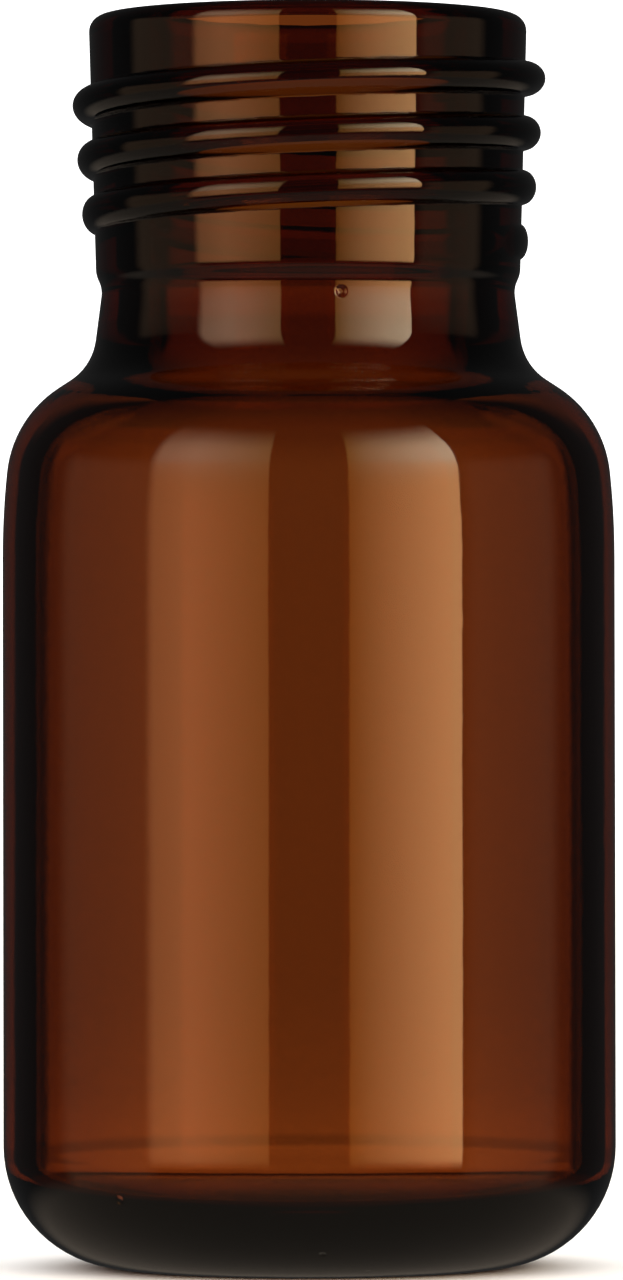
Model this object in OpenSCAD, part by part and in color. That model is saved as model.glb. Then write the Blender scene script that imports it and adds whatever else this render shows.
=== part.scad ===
// Small screw-neck sample vial, formed in one piece from amber glass tube.
// It stands on its base: Z = 0 is the plane of the standing ring, and the Z axis is the vial's own.

/* [Body] */
// Height from the standing ring to the rim
height = 46; // [36:0.5:90]
// Outer diameter of the body
body_d = 22.5; // [18.5:0.25:32]
// Thickness of the body's wall
wall = 1.2; // [0.8:0.05:1.8]

/* [Base] */
// Outer radius of the rounded heel
heel_r = 4.45; // [2:0.05:7]
// Thickness of the glass through the heel, across its corner
heel_t = 1.5; // [1:0.1:2.6]
// Thickness of the base at its centre
base_t = 2.3; // [0.8:0.1:3]
// Depth of the hollow under the base
dish_h = 0.35; // [0.1:0.05:0.8]
// Width of the flat ring that the vial stands on
ring_w = 1; // [0.4:0.1:1.4]

/* [Shoulder] */
// Radius where the body starts to close in
soft_r = 30; // [6:1:40]
// Angle through which that soft start turns
soft_a = 6; // [3:0.5:20]
// Radius of the shoulder's round
shoulder_r = 4.2; // [2:0.1:6]
// Steepest lean of the shoulder from the vertical
slope_a = 57; // [40:1:75]
// Radius of the hollow where shoulder meets neck
root_r = 2.1; // [1:0.1:3]

/* [Neck] */
// Diameter of the bore through the neck
bore_d = 11.8; // [9:0.1:16]
// Thickness of the neck at its waist, below the thread
neck_wall = 1.7; // [0.8:0.05:2.2]
// Height of the step out from the waist to the threaded neck
step_h = 0.21; // [0.1:0.01:0.5]
// Radius of both bends of that step
step_r = 1; // [0.6:0.1:2]
// Lean of the neck below its waist
flare_a = 7.5; // [2:0.5:15]
// Length of the neck below its waist
flare_h = 1.6; // [0.5:0.1:5]
// Thickness of the neck at the rim
collar_wall = 2.15; // [1.3:0.05:2.8]
// Rounding of the rim outside
rim_r = 0.6; // [0.2:0.05:0.8]
// Rounding of the rim inside
lip_r = 0.4; // [0.1:0.05:0.5]

/* [Thread] */
// Distance from the rim down to the thread's first crest
thread_drop = 2.1; // [1.6:0.1:6]
// Pitch of the thread
pitch = 2; // [1.5:0.1:3]
// Number of turns
turns = 3.2; // [1.5:0.05:5]
// Height of the rib at its upper end
rib_h = 0.76; // [0.3:0.02:1]
// Height of the rib at its lower end
rib_end_h = 0.38; // [0.2:0.02:1]
// Width of the rib at its foot
rib_w = 1.3; // [0.6:0.05:1.4]
// Part of a turn in which the rib rises from the neck at each end
fade = 0.11; // [0.05:0.01:0.4]
// Direction in which the rib's upper end lies
start_a = 45; // [0:5:355]
// Plain neck between the thread and the step
foot_gap = 0.85; // [0.6:0.05:3]

/* [Hidden] */
$fn = 128;
ARC_STEP = 7.5; // each round is drawn with a corner for at most this angle
amber = [0.42, 0.19, 0.06];

// Radii and levels that follow from the sizes above
body_r = body_d / 2;
hollow_r = body_r - wall;
bore_r = bore_d / 2;
waist_r = bore_r + neck_wall;
collar_r = bore_r + collar_wall;
floor_z = dish_h + base_t;
foot_z = height - thread_drop - turns * pitch - foot_gap;

// Under the base: a shallow dish inside the standing ring
dish_r = body_r - heel_r - ring_w;
dish_bow = (dish_r * dish_r + dish_h * dish_h) / (2 * dish_h);

// Inside the heel: the round that leaves heel_t of glass across the corner
well_r = min(hollow_r - 1, max(0.3, heel_r + (heel_t - (wall + floor_z) / sqrt(2)) / (sqrt(2) - 1)));

// Neck: the threaded part leans out by taper_a, and the step leans by step_a where its two bends meet
foot_r = waist_r + step_h;
taper_a = atan((collar_r - foot_r) / (height - rim_r - foot_z));
step_a = acos((1 + cos(taper_a) - step_h / step_r) / 2);
foot = [foot_r, foot_z];
bend = foot - arc(step_r, 90 - step_a, 90 - taper_a);
waist_end = bend - arc(step_r, 90 + flare_a, 90 - step_a);
root_top = waist_end + [flare_h * tan(flare_a), -flare_h];
root_low = root_top - arc(root_r, 90 + slope_a, 90 + flare_a);

// Shoulder: its rounds shrink together where the body is hardly wider than the neck
round_in = -arc(soft_r, 90, 90 + soft_a).x - arc(shoulder_r, 90 + soft_a, 90 + slope_a).x;
shrink = min(1, (body_r - root_low.x) / round_in);
soft = arc(soft_r * shrink, 90, 90 + soft_a);
round = arc(shoulder_r * shrink, 90 + soft_a, 90 + slope_a);
slope_run = body_r + soft.x + round.x - root_low.x;
slope_low = root_low + slope_run * [1, -1 / tan(slope_a)];
body_top = slope_low - round - soft;

// Inside of the shoulder, one wall in from the outside
soft_in_r = max(0.5, soft_r * shrink - wall);
round_in_r = max(0.3, shoulder_r * shrink - wall);
soft_in = arc(soft_in_r, 90, 90 + soft_a);
round_in_step = arc(round_in_r, 90 + soft_a, 90 + slope_a);
slope_in_x = hollow_r + soft_in.x + round_in_step.x;
root_in_r = min(root_r + wall, (slope_in_x - bore_r) / (1 - cos(slope_a)));
root_in_x = bore_r + root_in_r * (1 - cos(slope_a));
slope_in = [slope_in_x, slope_in_z(slope_in_x)];
hollow_top = slope_in - round_in_step - soft_in;
root_in = [root_in_x, slope_in_z(root_in_x)];
bore_end_z = root_in.y + root_in_r * sin(slope_a);

// How far an arc of radius r carries a line that turns from heading a to heading b
function arc(r, a, b) = sign(b - a) * r * [sin(b) - sin(a), cos(a) - cos(b)];

// Level of the shoulder's inner slope at radius x: the outer slope, moved in by the wall
function slope_in_z(x) =
    let (start = slope_low - wall * [cos(slope_a), sin(slope_a)])
    start.y + (start.x - x) / tan(slope_a);

// Radius of the threaded neck at level z
function neck_r(z) = foot_r + (z - foot_z) * tan(taper_a);

// Half section through the wall, as corners in order round the glass. Each holds its place, then the
// radius of the line to the next corner: above 0 it bows out of the glass, below 0 into it, and 0 is straight.
SECTION = [
    [[0, dish_h], -dish_bow],
    [[dish_r, 0], 0],
    [[body_r - heel_r, 0], heel_r],
    [[body_r, heel_r], 0],
    [body_top, soft_r * shrink],
    [body_top + soft, shoulder_r * shrink],
    [slope_low, 0],
    [root_low, -root_r],
    [root_top, 0],
    [waist_end, -step_r],
    [bend, step_r],
    [foot, 0],
    [[collar_r, height - rim_r], rim_r],
    [[collar_r - rim_r, height], 0],
    [[bore_r + lip_r, height], lip_r],
    [[bore_r, height - lip_r], 0],
    [[bore_r, bore_end_z], root_in_r],
    [root_in, 0],
    [slope_in, -round_in_r],
    [hollow_top + soft_in, -soft_in_r],
    [hollow_top, 0],
    [[hollow_r, floor_z + well_r], -well_r],
    [[hollow_r - well_r, floor_z], 0],
    [[0, floor_z], 0],
];

// Points from p up to, but not including, q along the line described at SECTION
function bowed(p, q, r) =
    let (
        chord = norm(q - p),
        turn = r == 0 ? 0 : 2 * asin(chord / 2 / r),
        left = [p.y - q.y, q.x - p.x] / chord,
        centre = (p + q) / 2 + (r == 0 ? [0, 0] : sign(r) * sqrt(r * r - chord * chord / 4) * left),
        n = max(1, ceil(abs(turn) / ARC_STEP))
    )
    [for (i = [0 : n - 1]) centre + turned(p - centre, turn * i / n)];

// Vector v turned by angle a
function turned(v, a) = [v.x * cos(a) - v.y * sin(a), v.x * sin(a) + v.y * cos(a)];

// Thread: one rib wound round the neck, lower and lower from its upper end
RIB_STEPS = 36;   // rings in a turn
RIB_SIDES = 8;    // facets over the rib's back, a half ellipse
RIB_SINK = 0.35;  // how deep the rib's foot lies in the neck
RIB_DIP = 0.04;   // how far a faded end lies under the neck's surface

// Height of the rib, t turns from its upper end
function rib_rise(t) =
    (rib_h + (rib_end_h - rib_h) * t / turns + RIB_DIP)
    * min(1, t / fade, (turns - t) / fade) - RIB_DIP;

// One ring round the rib: its buried foot, then the points over its back from low to high
function rib_ring(t) =
    let (
        a = start_a - 360 * t,
        mid_z = height - thread_drop - pitch * t,
        back = [for (j = [0 : RIB_SIDES]) let (s = 180 * j / RIB_SIDES, z = mid_z - rib_w / 2 * cos(s))
            [neck_r(z) - RIB_DIP + (rib_rise(t) + RIB_DIP) * sin(s), z]],
        outline = concat(
            [[neck_r(mid_z) - RIB_SINK, mid_z + rib_w / 2], [neck_r(mid_z) - RIB_SINK, mid_z - rib_w / 2]],
            back)
    )
    [for (p = outline) [p.x * cos(a), p.x * sin(a), p.y]];

module rib() {
    rings = ceil(turns * RIB_STEPS);
    size = RIB_SIDES + 3;
    points = [for (i = [0 : rings]) each rib_ring(turns * i / rings)];
    sides = [for (i = [0 : rings - 1], j = [0 : size - 1])
        [i * size + j, (i + 1) * size + j, (i + 1) * size + (j + 1) % size, i * size + (j + 1) % size]];
    caps = [[for (j = [0 : size - 1]) j], [for (j = [size - 1 : -1 : 0]) rings * size + j]];
    polyhedron(points, concat(sides, caps), convexity = 6);
}

module vial() color(amber) {
    rotate_extrude() polygon([for (i = [0 : len(SECTION) - 2])
        each bowed(SECTION[i][0], SECTION[i + 1][0], SECTION[i][1]),
        SECTION[len(SECTION) - 1][0]]);
    rib();
}

vial();
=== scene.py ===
import math

import bpy
import numpy as np
from bpy.props import FloatProperty, FloatVectorProperty, PointerProperty
from mathutils import Euler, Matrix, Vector


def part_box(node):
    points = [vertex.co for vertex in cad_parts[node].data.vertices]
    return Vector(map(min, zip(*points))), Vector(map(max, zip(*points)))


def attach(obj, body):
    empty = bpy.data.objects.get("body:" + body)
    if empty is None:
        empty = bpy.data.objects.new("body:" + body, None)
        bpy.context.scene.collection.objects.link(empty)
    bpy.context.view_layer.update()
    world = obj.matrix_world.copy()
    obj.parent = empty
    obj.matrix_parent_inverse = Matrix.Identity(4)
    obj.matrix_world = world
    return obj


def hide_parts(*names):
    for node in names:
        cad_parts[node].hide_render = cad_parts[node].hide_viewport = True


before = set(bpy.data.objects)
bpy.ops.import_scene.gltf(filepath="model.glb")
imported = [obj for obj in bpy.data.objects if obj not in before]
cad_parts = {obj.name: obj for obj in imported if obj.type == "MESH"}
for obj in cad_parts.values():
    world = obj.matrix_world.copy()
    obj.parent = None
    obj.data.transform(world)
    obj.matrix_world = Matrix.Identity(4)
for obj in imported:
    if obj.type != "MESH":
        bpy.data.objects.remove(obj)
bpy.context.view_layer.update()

bl_info = {
    "name": "Amber sample vial",
    "version": (1, 0, 0),
    "blender": (4, 5, 0),
    "location": "3D View > Sidebar > Vial",
    "description": "Makes a screw-neck sample vial in amber glass, and the table it stands on",
    "category": "Add Mesh",
}

FOOT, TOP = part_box("vial")
MM = 0.001
DEG = math.pi / 180
COLUMNS = 320  # corners round the vial's axis
THREADED_ROWS = 140  # steps up the threaded neck; no other line of the half section has as many
CROWDING = 3  # how much closer the rows lie at the rib's sides than elsewhere

# Small pits in the glass: where each lies and its radius, in millimetres.
BLEMISHES = (
    ((1.2, -7.6, 35.5), 0.28),
    ((0.45, -9.6, 1.0), 0.16),
    ((2.1, -8.2, 0.2), 0.16),
    ((-6.8, -8.6, 2.9), 0.2),
)

# Studio light: colours in linear light. Each softbox goes from its near shade to its far one.
WHITE = (1.8, 1.8, 1.8)
BACKDROP = (1.24, 1.08, 0.95)
OVERHEAD = (0.75, 0.85, 0.78)
RIGHT_NEAR, RIGHT_FAR = (1.4, 0.53, 0.07), (7.4, 3.8, 1.55)
LEFT_NEAR, LEFT_FAR = (1.65, 0.7, 0.17), (3.15, 1.34, 0.52)
SOFTBOX_TOP = (1, 1.5, 2.4)
SIDES = (0.24, 0.15, 0.09)
BELOW = (0.16, 0.13, 0.1)
FILL = (0.9, 0.84, 0.78)
DIM_ROOM = (0.03, 0.03, 0.03)


# ---------------------------------------------------------------- values a user would change


def length(name, text, value):
    """A length property, given in millimetres and held in metres."""
    return FloatProperty(name=name, description=text, default=value * MM, unit="LENGTH", precision=5)


def turn(name, text, value):
    """An angle property, given in degrees and held in radians."""
    return FloatProperty(name=name, description=text, default=value * DEG, unit="ROTATION")


def factor(name, text, value, top=1.0):
    """A plain number from 0 to top."""
    return FloatProperty(name=name, description=text, default=value, min=0.0, max=top)


def colour(name, text, value):
    """A colour in linear light."""
    return FloatVectorProperty(name=name, description=text, default=value, size=3, subtype="COLOR",
                               min=0.0, max=20.0)


class VialBody(bpy.types.PropertyGroup):
    """Sizes of the glass below the neck."""

    height: length("Height", "From the table to the rim", (TOP.z - FOOT.z) / MM)
    across: length("Body diameter", "Outer diameter of the body", (TOP.x - FOOT.x) / MM)
    wall: length("Wall", "Thickness of the body's wall", 1.2)
    heel: length("Heel radius", "Outer radius of the rounded heel", 4.45)
    heel_glass: length("Heel glass", "Thickness of the glass across the heel's corner", 1.5)
    base_glass: length("Base glass", "Thickness of the base at its centre", 2.3)
    dish: length("Dish depth", "Depth of the hollow under the base", 0.35)
    ring: length("Ring width", "Width of the ring that the vial stands on", 1.0)
    soft: length("Soft radius", "Radius where the body starts to close in", 30.0)
    soft_turn: turn("Soft turn", "Angle through which that start turns", 6.0)
    shoulder: length("Shoulder radius", "Radius of the shoulder's round", 4.2)
    slope: turn("Slope", "Steepest lean of the shoulder from the vertical", 57.0)
    root: length("Root radius", "Radius of the hollow where shoulder meets neck", 2.1)


class VialNeck(bpy.types.PropertyGroup):
    """Sizes of the neck and its rim."""

    bore: length("Bore", "Diameter of the way through the neck", 11.8)
    waist_glass: length("Waist glass", "Thickness of the neck below its thread", 1.7)
    step: length("Step", "Height of the step from the waist to the threaded neck", 0.21)
    step_round: length("Step radius", "Radius of both bends of that step", 1.0)
    flare: turn("Flare", "Lean of the neck below its waist", 7.5)
    flare_height: length("Flare height", "Length of the neck below its waist", 1.6)
    rim_glass: length("Rim glass", "Thickness of the neck at the rim", 2.15)
    rim_round: length("Rim radius", "Rounding of the rim outside", 0.6)
    lip_round: length("Lip radius", "Rounding of the rim inside", 0.4)


class VialThread(bpy.types.PropertyGroup):
    """Sizes of the rib that winds round the neck."""

    drop: length("Drop", "From the rim down to the first crest", 2.1)
    pitch: length("Pitch", "Rise of the rib in one turn", 2.0)
    turns: factor("Turns", "Number of turns", 3.2, 8.0)
    high: length("Upper height", "Height of the rib at its upper end", 0.76)
    low: length("Lower height", "Height of the rib at its lower end", 0.38)
    wide: length("Width", "Width of the rib at its foot", 1.3)
    fade: factor("Fade", "Part of a turn in which the rib rises at each end", 0.11)
    start: turn("Start", "Direction in which the rib's upper end lies", 45.0)
    foot_gap: length("Foot gap", "Plain neck between the thread and the step", 0.85)
    dip: length("Dip", "How far a faded end lies under the neck's surface", 0.04)


class VialGlass(bpy.types.PropertyGroup):
    """Finish of the amber glass."""

    amber: colour("Amber", "What the glass lets through", (0.617, 0.346, 0.0))
    strength: factor("Strength", "How much the glass takes from light in a metre", 2400.0, 9000.0)
    ior: factor("Index", "How much the glass bends light", 1.52, 3.0)
    gloss: factor("Roughness", "Blur of what the glass mirrors, where it is most handled", 0.05)
    ripple: length("Ripple", "Height of the faint lines left by drawing the tube", 0.012)
    dimple: length("Dimples", "Height of the fine unevenness of the surface", 0.0015)
    pit: length("Pits", "Depth of the small blemishes", 0.06)


class VialStage(bpy.types.PropertyGroup):
    """Table, lights and camera."""

    distance: length("Camera distance", "From the vial's axis to the camera", 330.0)
    eye: length("Camera height", "Height of the camera above the table", 20.0)
    aim: length("Aim height", "Height of the point that the camera looks at", 23.02)
    aside: length("Camera aside", "How far the camera stands right of the axis", 0.1)
    lens: FloatProperty(name="Lens", description="Focal length in millimetres", default=252.4, min=10.0)
    roll: turn("Roll", "Tilt of the camera about its line of sight", -0.1)
    table: colour("Table", "Colour of the table", (0.93, 0.93, 0.92))
    table_size: length("Table size", "Side of the table", 6000.0)


PANEL_GROUPS = (
    ("vial_body", VialBody),
    ("vial_neck", VialNeck),
    ("vial_thread", VialThread),
    ("vial_glass", VialGlass),
    ("vial_stage", VialStage),
)


# ---------------------------------------------------------------- the glass as a surface


def arc(radius, start, end):
    """How far an arc carries a line that turns from heading start to heading end.

    The step is radius times (sin end - sin start, cos start - cos end), signed with the turn.
    """
    way = math.copysign(radius, end - start)
    return way * np.array([math.sin(end) - math.sin(start), math.cos(start) - math.cos(end)])


class Levels:
    """Radii and levels that follow from the vial's sizes."""

    def __init__(self, body, neck, thread):
        self.radius = body.across / 2
        self.hollow = self.radius - body.wall
        self.bore = neck.bore / 2
        self.collar = self.bore + neck.rim_glass
        self.floor = body.dish + body.base_glass
        self.foot_r = self.bore + neck.waist_glass + neck.step
        self.foot_z = body.height - thread.drop - thread.turns * thread.pitch - thread.foot_gap
        self.collar_z = body.height - neck.rim_round
        self.taper = math.atan((self.collar - self.foot_r) / (self.collar_z - self.foot_z))

    def neck(self, z):
        """Radius of the threaded neck at level z: a cone from the step to the rim."""
        return self.foot_r + (z - self.foot_z) * math.tan(self.taper)


def half_section(body, neck, thread):
    """Corners (radius, level) round the glass from under the base to the floor inside.

    Each row holds a corner, the radius of the line to the next one (above 0 it bows out of the
    glass, below 0 into it, 0 is straight) and the number of steps along that line.
    """
    up = 90 * DEG
    v = Levels(body, neck, thread)
    lean = math.acos((1 + math.cos(v.taper) - neck.step / neck.step_round) / 2)
    dish_r = v.radius - body.heel - body.ring
    dish_bow = (dish_r ** 2 + body.dish ** 2) / (2 * body.dish)
    root2 = math.sqrt(2)
    well = body.heel + (body.heel_glass - (body.wall + v.floor) / root2) / (root2 - 1)

    foot = np.array([v.foot_r, v.foot_z])
    bend = foot - arc(neck.step_round, up - lean, up - v.taper)
    waist = bend - arc(neck.step_round, up + neck.flare, up - lean)
    root_top = waist + neck.flare_height * np.array([math.tan(neck.flare), -1])
    root_low = root_top - arc(body.root, up + body.slope, up + neck.flare)
    soft = arc(body.soft, up, up + body.soft_turn)
    bent = arc(body.shoulder, up + body.soft_turn, up + body.slope)
    run = v.radius + soft[0] + bent[0] - root_low[0]
    slope_low = root_low + run * np.array([1, -1 / math.tan(body.slope)])
    body_top = slope_low - bent - soft

    soft_in = arc(body.soft - body.wall, up, up + body.soft_turn)
    bent_in = arc(body.shoulder - body.wall, up + body.soft_turn, up + body.slope)
    wall_start = slope_low - body.wall * np.array([math.cos(body.slope), math.sin(body.slope)])

    def under_slope(x):
        return np.array([x, wall_start[1] + (wall_start[0] - x) / math.tan(body.slope)])

    slope_in = under_slope(v.hollow + soft_in[0] + bent_in[0])
    root_in_r = min(body.root + body.wall, (slope_in[0] - v.bore) / (1 - math.cos(body.slope)))
    root_in = under_slope(v.bore + root_in_r * (1 - math.cos(body.slope)))
    bore_end = root_in[1] + root_in_r * math.sin(body.slope)
    hollow_top = slope_in - bent_in - soft_in
    rim, lip = neck.rim_round, neck.lip_round

    return [
        ((0, body.dish), -dish_bow, 7),
        ((dish_r, 0), 0, 2),
        ((v.radius - body.heel, 0), body.heel, 18),
        ((v.radius, body.heel), 0, 8),
        (body_top, body.soft, 6),
        (body_top + soft, body.shoulder, 14),
        (slope_low, 0, 2),
        (root_low, -body.root, 9),
        (root_top, 0, 3),
        (waist, -neck.step_round, 5),
        (bend, neck.step_round, 5),
        (foot, 0, THREADED_ROWS),
        ((v.collar, v.collar_z), rim, 9),
        ((v.collar - rim, body.height), 0, 1),
        ((v.bore + lip, body.height), lip, 7),
        ((v.bore, body.height - lip), 0, 6),
        ((v.bore, bore_end), root_in_r, 12),
        (root_in, 0, 2),
        (slope_in, -(body.shoulder - body.wall), 10),
        (hollow_top + soft_in, -(body.soft - body.wall), 4),
        (hollow_top, 0, 8),
        ((v.hollow, v.floor + well), -well, 14),
        ((v.hollow - well, v.floor), 0, 4),
        ((0, v.floor), 0, 0),
    ]


def bowed(start, end, radius, steps):
    """Points from start up to, but not including, end.

    A straight line, or the arc of that radius with its centre to the left of the line where the
    radius is above 0 and to the right where it is below.
    """
    part = np.arange(steps)[:, None] / steps
    if radius == 0:
        return start + (end - start) * part
    chord = np.linalg.norm(end - start)
    left = np.array([start[1] - end[1], end[0] - start[0]]) / chord
    centre = (start + end) / 2 + math.copysign(math.sqrt(radius ** 2 - chord ** 2 / 4), radius) * left
    angle = 2 * math.asin(chord / 2 / radius) * part
    arm = start - centre
    turned = np.hstack([arm[0] * np.cos(angle) - arm[1] * np.sin(angle),
                        arm[0] * np.sin(angle) + arm[1] * np.cos(angle)])
    return centre + turned


def rib_height(angle, z, thread, height):
    """How far the rib stands out of the neck at that angle and level.

    Along the rib, t counts turns from its upper end, so its crest is at height - drop - pitch t.
    Across it, u is the distance from the crest in half widths, and the back is a half ellipse,
    the root of 1 - u squared. The height goes evenly from the upper value to the lower, and falls
    to nothing over the fade at both ends.
    """
    first = np.mod((thread.start - angle) / (2 * math.pi), 1.0)
    best = np.zeros(np.broadcast(angle, z).shape)
    for lap in range(math.ceil(thread.turns) + 1):
        t = first + lap
        crest = height - thread.drop - thread.pitch * t
        u = np.clip((z - crest) / (thread.wide / 2), -1, 1)
        ends = np.clip(np.minimum(t, thread.turns - t) / thread.fade, 0, 1)
        full = thread.high + (thread.low - thread.high) * t / thread.turns + thread.dip
        best = np.maximum(best, full * ends * np.sqrt(1 - u ** 2) - thread.dip)
    return best


def gathered(angle, z, share, thread, height):
    """Levels z moved so that rows crowd where the rib's sides are steep.

    Within each pitch the row spacing follows 1 / (1 + CROWDING exp(-(distance to a side)^2)), and
    the move fades to nothing at both ends of the neck, where share is 0 or 1.
    """
    side = thread.wide / 2 / thread.pitch
    q = np.linspace(-0.5, 0.5, 401)
    near_side, reach = 0.012, 0.045  # in pitches: just inside the side, and how far the crowd reaches
    crowd = 1 + CROWDING * np.exp(-((np.abs(q) - side + near_side) / reach) ** 2)
    filled = np.concatenate([[0], np.cumsum((crowd[1:] + crowd[:-1]) / 2)])
    filled = filled / filled[-1] - 0.5
    crest = height - thread.drop - thread.pitch * (thread.start - angle) / (2 * math.pi)
    phase = (z - crest) / thread.pitch
    part = phase - np.round(phase)
    move = (np.interp(part, filled, q) - part) * thread.pitch
    ends = np.clip(np.minimum(share, 1 - share) / 0.05, 0, 1)
    return z + move * ends


def vial_grid(body, neck, thread, around):
    """Points of the glass, one row for each step along the half section and one column an angle.

    The half section (r, z) turns about the vial's axis: x = r cos a, y = r sin a. Along the
    threaded neck the rib's height is added to r.
    """
    v = Levels(body, neck, thread)
    rows = half_section(body, neck, thread)
    counts = [steps for corner, radius, steps in rows]
    lines, owner = [], []
    for number, (here, after) in enumerate(zip(rows[:-1], rows[1:])):
        line = bowed(np.array(here[0], float), np.array(after[0], float), here[1], here[2])
        lines.append(line)
        owner.append(np.full(len(line), number))
    profile = np.vstack(lines)
    owner = np.concatenate(owner)
    angle = np.arange(around)[None, :] * 2 * math.pi / around
    r = np.repeat(profile[:, :1], around, axis=1)
    z = np.repeat(profile[:, 1:], around, axis=1)
    threaded = owner == counts.index(THREADED_ROWS)
    share = np.linspace(0, 1, threaded.sum(), endpoint=False)[:, None]
    z[threaded] = gathered(angle, z[threaded], share, thread, body.height)
    r[threaded] = v.neck(z[threaded]) + rib_height(angle, z[threaded], thread, body.height)
    points = np.stack([r * np.cos(angle), r * np.sin(angle), z], axis=-1)
    return points[1:], (body.dish, v.floor)


def lathe_mesh(name, points, pole_levels):
    """A closed mesh from rows of rings, with a point on the axis before the first and after the last."""
    rows, around = points.shape[:2]
    poles = np.array([[0, 0, level] for level in pole_levels])
    verts = np.vstack([points.reshape(-1, 3), poles])
    index = np.arange(rows * around).reshape(rows, around)
    after = np.roll(index, -1, axis=1)
    quads = np.stack([index[:-1], after[:-1], after[1:], index[1:]], axis=-1).reshape(-1, 4)
    first, last = rows * around, rows * around + 1
    low = np.stack([np.full(around, first), after[0], index[0]], axis=-1)
    high = np.stack([np.full(around, last), index[-1], after[-1]], axis=-1)
    mesh = bpy.data.meshes.new(name)
    mesh.from_pydata(verts.tolist(), [], quads.tolist() + low.tolist() + high.tolist())
    mesh.polygons.foreach_set("use_smooth", np.ones(len(mesh.polygons), bool))
    mesh.update()
    mesh.validate()
    obj = bpy.data.objects.new(name, mesh)
    bpy.context.scene.collection.objects.link(obj)
    return obj


# ---------------------------------------------------------------- shader maths


class Wire:
    """A socket that can be used in sums: Wire + 1, 2 * Wire and so on add Math nodes."""

    def __init__(self, tree, socket):
        self.tree = tree
        self.socket = socket

    def math(self, operation, *values):
        return node(self.tree, "ShaderNodeMath", {"operation": operation},
                    {i: x for i, x in enumerate(values)})

    def __add__(self, other):
        return self.math("ADD", self, other)

    def __radd__(self, other):
        return self.math("ADD", other, self)

    def __sub__(self, other):
        return self.math("SUBTRACT", self, other)

    def __rsub__(self, other):
        return self.math("SUBTRACT", other, self)

    def __mul__(self, other):
        return self.math("MULTIPLY", self, other)

    def __rmul__(self, other):
        return self.math("MULTIPLY", other, self)

    def __truediv__(self, other):
        return self.math("DIVIDE", self, other)

    def __rtruediv__(self, other):
        return self.math("DIVIDE", other, self)

    def __abs__(self):
        return self.math("ABSOLUTE", self)

    def rise(self, low, high, kind="SMOOTHSTEP"):
        """0 below low, 1 above high and a soft step between them."""
        return node(self.tree, "ShaderNodeMapRange", {"interpolation_type": kind},
                    {"Value": self, "From Min": low, "From Max": high})

    def ramp(self, low, high):
        """0 below low, 1 above high and even between them."""
        return self.rise(low, high, "LINEAR")

    def between(self, low, high, soft):
        """1 between low and high, 0 outside, with soft edges centred on both."""
        half = soft / 2
        return self.rise(low - half, low + half) * (1 - self.rise(high - half, high + half))


def node(tree, kind, settings=None, inputs=None, output=0):
    """Adds a node of that type: its settings first, then the values or links of its sockets."""
    made = tree.nodes.new(kind)
    for name, value in (settings or {}).items():
        setattr(made, name, value)
    for key, value in (inputs or {}).items():
        socket = made.inputs[key]
        if isinstance(value, Wire):
            tree.links.new(value.socket, socket)
        else:
            socket.default_value = value
    return Wire(tree, made.outputs[output]) if len(made.outputs) else made


def wires(wire, *names):
    """Other outputs of the node that a wire comes from."""
    return [Wire(wire.tree, wire.socket.node.outputs[name]) for name in names]


def tinted(amount, shade):
    """A colour times a number that varies."""
    return node(amount.tree, "ShaderNodeVectorMath", {"operation": "SCALE"}, {0: shade, "Scale": amount})


def blend(amount, first, second):
    """Goes from the first colour to the second as amount goes from 0 to 1."""
    return node(amount.tree, "ShaderNodeMix", {"data_type": "RGBA"},
                {"Factor": amount, "A": first, "B": second}, "Result")


def joined(operation, first, *others):
    """The sum or product of colours."""
    for other in others:
        first = node(first.tree, "ShaderNodeVectorMath", {"operation": operation}, {0: first, 1: other})
    return first


def glass_material(glass):
    """Clear amber glass: gloss on its surface, and all its colour from the depth of the glass.

    Its surface is uneven in three ways: long faint lines along the axis, finer dimples, and the
    few small pits in BLEMISHES.
    """
    made = bpy.data.materials.new("amber_glass")
    made.use_nodes = True
    tree = made.node_tree
    tree.nodes.clear()
    where = wires(node(tree, "ShaderNodeTexCoord"), "Object")[0]
    drawn = joined("MULTIPLY", where, (1, 1, 0.12))
    lines = node(tree, "ShaderNodeTexNoise", {}, {"Vector": drawn, "Scale": 330, "Detail": 1.5})
    fine = node(tree, "ShaderNodeTexNoise", {}, {"Vector": where, "Scale": 1400, "Detail": 1})
    patches = node(tree, "ShaderNodeTexNoise", {}, {"Vector": where, "Scale": 160, "Detail": 3})
    height = lines * glass.ripple + fine * glass.dimple
    for spot, radius in BLEMISHES:
        away = node(tree, "ShaderNodeVectorMath", {"operation": "DISTANCE"},
                    {0: where, 1: [MM * part for part in spot]}, "Value")
        height = height - glass.pit * (1 - away.rise(0.3 * radius * MM, radius * MM))
    bump = node(tree, "ShaderNodeBump", {}, {"Height": height, "Distance": 1.0})
    shader = node(tree, "ShaderNodeBsdfPrincipled", {}, {
        "Base Color": (1, 1, 1, 1),
        "Roughness": glass.gloss * patches.rise(0.45, 0.75),
        "IOR": glass.ior,
        "Normal": bump,
        "Transmission Weight": 1.0,
    })
    depth = node(tree, "ShaderNodeVolumeAbsorption", {},
                 {"Color": (*glass.amber, 1), "Density": glass.strength})
    node(tree, "ShaderNodeOutputMaterial", {}, {"Surface": shader, "Volume": depth})
    return made


def table_material(shade):
    """A matt pale table top."""
    made = bpy.data.materials.new("table")
    made.use_nodes = True
    tree = made.node_tree
    tree.nodes.clear()
    shader = node(tree, "ShaderNodeBsdfPrincipled", {},
                  {"Base Color": (*shade, 1), "Roughness": 0.9, "Specular IOR Level": 0.1})
    node(tree, "ShaderNodeOutputMaterial", {}, {"Surface": shader})
    return made


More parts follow.
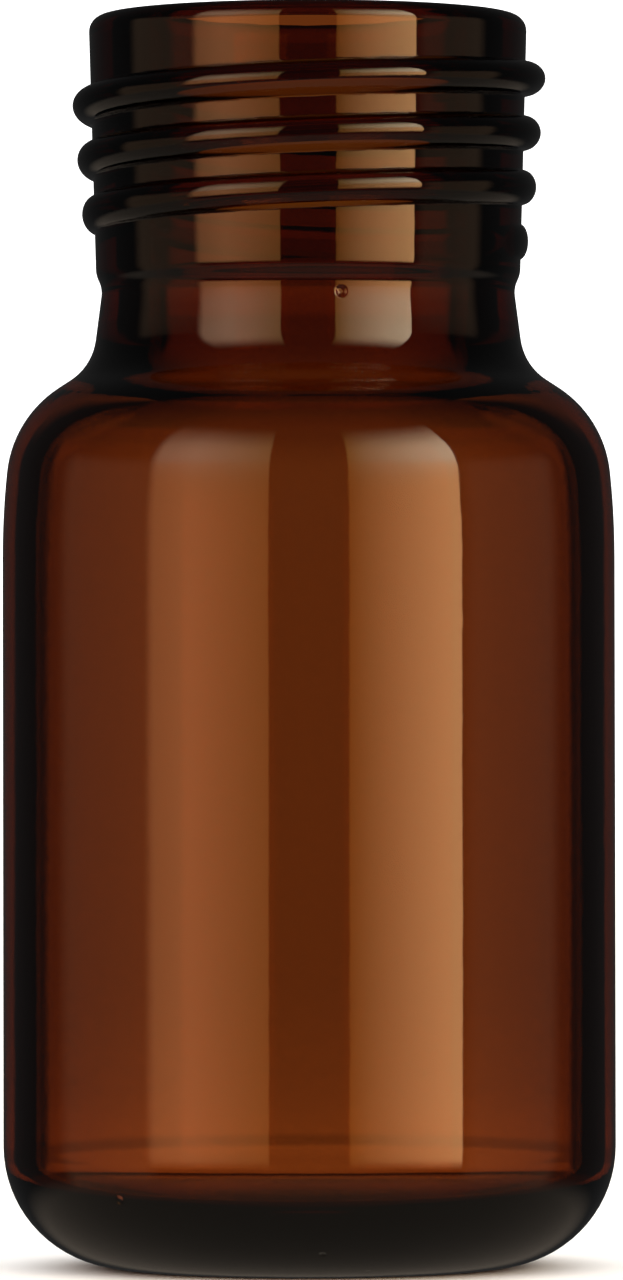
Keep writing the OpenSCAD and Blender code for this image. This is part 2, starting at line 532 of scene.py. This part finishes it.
def softbox(front, rise, edges, peak, soft, fall, near_shade, far_shade):
    """Light of an upright softbox that fills the angles between its edges round from the camera.

    Its colour goes evenly from near_shade at the near edge to far_shade at the peak, and its
    strength falls a little from there to the far edge, which is soft. It is cooler near its top,
    and fades toward its top and its foot.
    """
    near, far = edges
    across = front.rise(near - 0.5, near + 0.5) * (1 - front.rise(far - soft / 2, far + soft / 2))
    across = across * (1 - fall * front.ramp(peak, far + soft))
    upright = rise.rise(-13, -3) * (1 - rise.rise(24, 50))
    shade = blend(front.ramp(near, peak), (*near_shade, 1), (*far_shade, 1))
    cool = blend(rise.rise(9, 19), (1, 1, 1, 1), (*SOFTBOX_TOP, 1))
    return joined("MULTIPLY", tinted(across * upright, shade), cool)


def studio_world():
    """Soft studio light as a function of direction.

    flat is the angle round from straight behind the vial and front that from the camera, both
    growing to the right; rise is the angle above the table. A pale backdrop stands behind, dimmer
    in its middle and brighter toward its foot, a softbox on each side of the camera, and the rest
    of the room is dim. The backdrop, and a fill on the camera's side for views from behind, shine
    through the glass but aren't mirrored by its surface. The table and the camera see plain white.
    """
    world = bpy.data.worlds.new("studio")
    world.use_nodes = True
    tree = world.node_tree
    tree.nodes.clear()
    ray = node(tree, "ShaderNodeLightPath")
    camera_ray, diffuse_ray, mirrored = wires(ray, "Is Camera Ray", "Is Diffuse Ray", "Is Reflection Ray")
    toward = node(tree, "ShaderNodeTexCoord")
    x, y, z = wires(node(tree, "ShaderNodeSeparateXYZ", {}, {0: toward}), "X", "Y", "Z")
    flat = x.math("ARCTAN2", x, y) / DEG
    front = x.math("ARCTAN2", x, 0 - y) / DEG
    rise = x.math("ARCSINE", z) / DEG
    middle = (0.74 + 0.26 * abs(flat).rise(0.5, 5)) * (1.6 - 0.6 * rise.rise(-3.2, -1.6))
    behind = flat.between(-20.5, 20.5, 5) * rise.between(-21, 15, 10) * middle * (1 - mirrored)
    backdrop = tinted(behind, BACKDROP)
    above = flat.between(-24, 24, 16) * rise.rise(10, 20) * (1 - mirrored)
    overhead = tinted(above, OVERHEAD)
    right = softbox(front, rise, (15, 59), 59, 1, 0.0, RIGHT_NEAR, RIGHT_FAR)
    left = softbox(0 - front, rise, (15, 62), 45, 6, 0.45, LEFT_NEAR, LEFT_FAR)
    sides = tinted(abs(flat).between(75, 118, 10) * rise.between(-20, 15, 10), SIDES)
    below = tinted(1 - rise.rise(-24, -14), BELOW)
    nearer = abs(flat).rise(85, 125) * (1 - rise.rise(20, 50)) * (1 - mirrored)
    fill = tinted(nearer, FILL)
    light = joined("ADD", backdrop, overhead, right, left, sides, below, fill, DIM_ROOM)
    seen = blend(camera_ray.math("MAXIMUM", camera_ray, diffuse_ray), light, (*WHITE, 1))
    shade = node(tree, "ShaderNodeBackground", {}, {"Color": seen})
    node(tree, "ShaderNodeOutputWorld", {}, {"Surface": shade})
    bpy.context.scene.world = world


# ---------------------------------------------------------------- operators


class OBJECT_OT_vial_glass(bpy.types.Operator):
    """Makes the vial's glass in one closed piece, with its thread, in place of the plain one"""

    bl_idname = "object.vial_glass"
    bl_label = "Vial glass"

    def execute(self, context):
        scene = context.scene
        points, poles = vial_grid(scene.vial_body, scene.vial_neck, scene.vial_thread, COLUMNS)
        vial = lathe_mesh("vial_glass", points, poles)
        vial.data.materials.append(glass_material(scene.vial_glass))
        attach(vial, "root")
        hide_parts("vial")
        return {"FINISHED"}


class SCENE_OT_vial_stage(bpy.types.Operator):
    """Makes the table, the studio light and the camera"""

    bl_idname = "scene.vial_stage"
    bl_label = "Table, light and camera"

    def execute(self, context):
        scene = context.scene
        stage = scene.vial_stage
        half = stage.table_size / 2
        corners = [(-half, -half, 0), (half, -half, 0), (half, half, 0), (-half, half, 0)]
        mesh = bpy.data.meshes.new("table")
        mesh.from_pydata(corners, [], [(0, 1, 2, 3)])
        table = bpy.data.objects.new("table", mesh)
        scene.collection.objects.link(table)
        mesh.materials.append(table_material(stage.table))
        table.visible_transmission = False
        table.visible_glossy = False
        studio_world()

        data = bpy.data.cameras.new("camera")
        data.lens = stage.lens
        data.sensor_width = 36
        data.clip_start = 0.01
        camera = bpy.data.objects.new("camera", data)
        scene.collection.objects.link(camera)
        place = Vector((stage.aside, -stage.distance, stage.eye))
        ahead = Vector((stage.aside, 0, stage.aim)) - place
        camera.location = place
        look = ahead.to_track_quat("-Z", "Y").to_matrix().to_4x4()
        tilt = Euler((0, 0, stage.roll)).to_matrix().to_4x4()
        camera.rotation_euler = (look @ tilt).to_euler()
        scene.camera = camera
        scene.view_settings.view_transform = "Standard"
        return {"FINISHED"}


class VIEW3D_PT_vial(bpy.types.Panel):
    """Sizes, glass and stage of the vial"""

    bl_label = "Amber vial"
    bl_idname = "VIEW3D_PT_vial"
    bl_space_type = "VIEW_3D"
    bl_region_type = "UI"
    bl_category = "Vial"

    def draw(self, context):
        layout = self.layout
        for attribute, group in PANEL_GROUPS:
            box = layout.box()
            box.label(text=group.__doc__)
            for name in group.__annotations__:
                box.prop(getattr(context.scene, attribute), name)
        layout.operator(OBJECT_OT_vial_glass.bl_idname)
        layout.operator(SCENE_OT_vial_stage.bl_idname)


CLASSES = (VialBody, VialNeck, VialThread, VialGlass, VialStage,
           OBJECT_OT_vial_glass, SCENE_OT_vial_stage, VIEW3D_PT_vial)


def register():
    for cls in CLASSES:
        bpy.utils.register_class(cls)
    for attribute, group in PANEL_GROUPS:
        setattr(bpy.types.Scene, attribute, PointerProperty(type=group))


def unregister():
    for attribute, group in reversed(PANEL_GROUPS):
        delattr(bpy.types.Scene, attribute)
    for cls in reversed(CLASSES):
        bpy.utils.unregister_class(cls)


def main():
    register()
    bpy.ops.scene.vial_stage()
    bpy.ops.object.vial_glass()


if __name__ == "__main__":
    main()
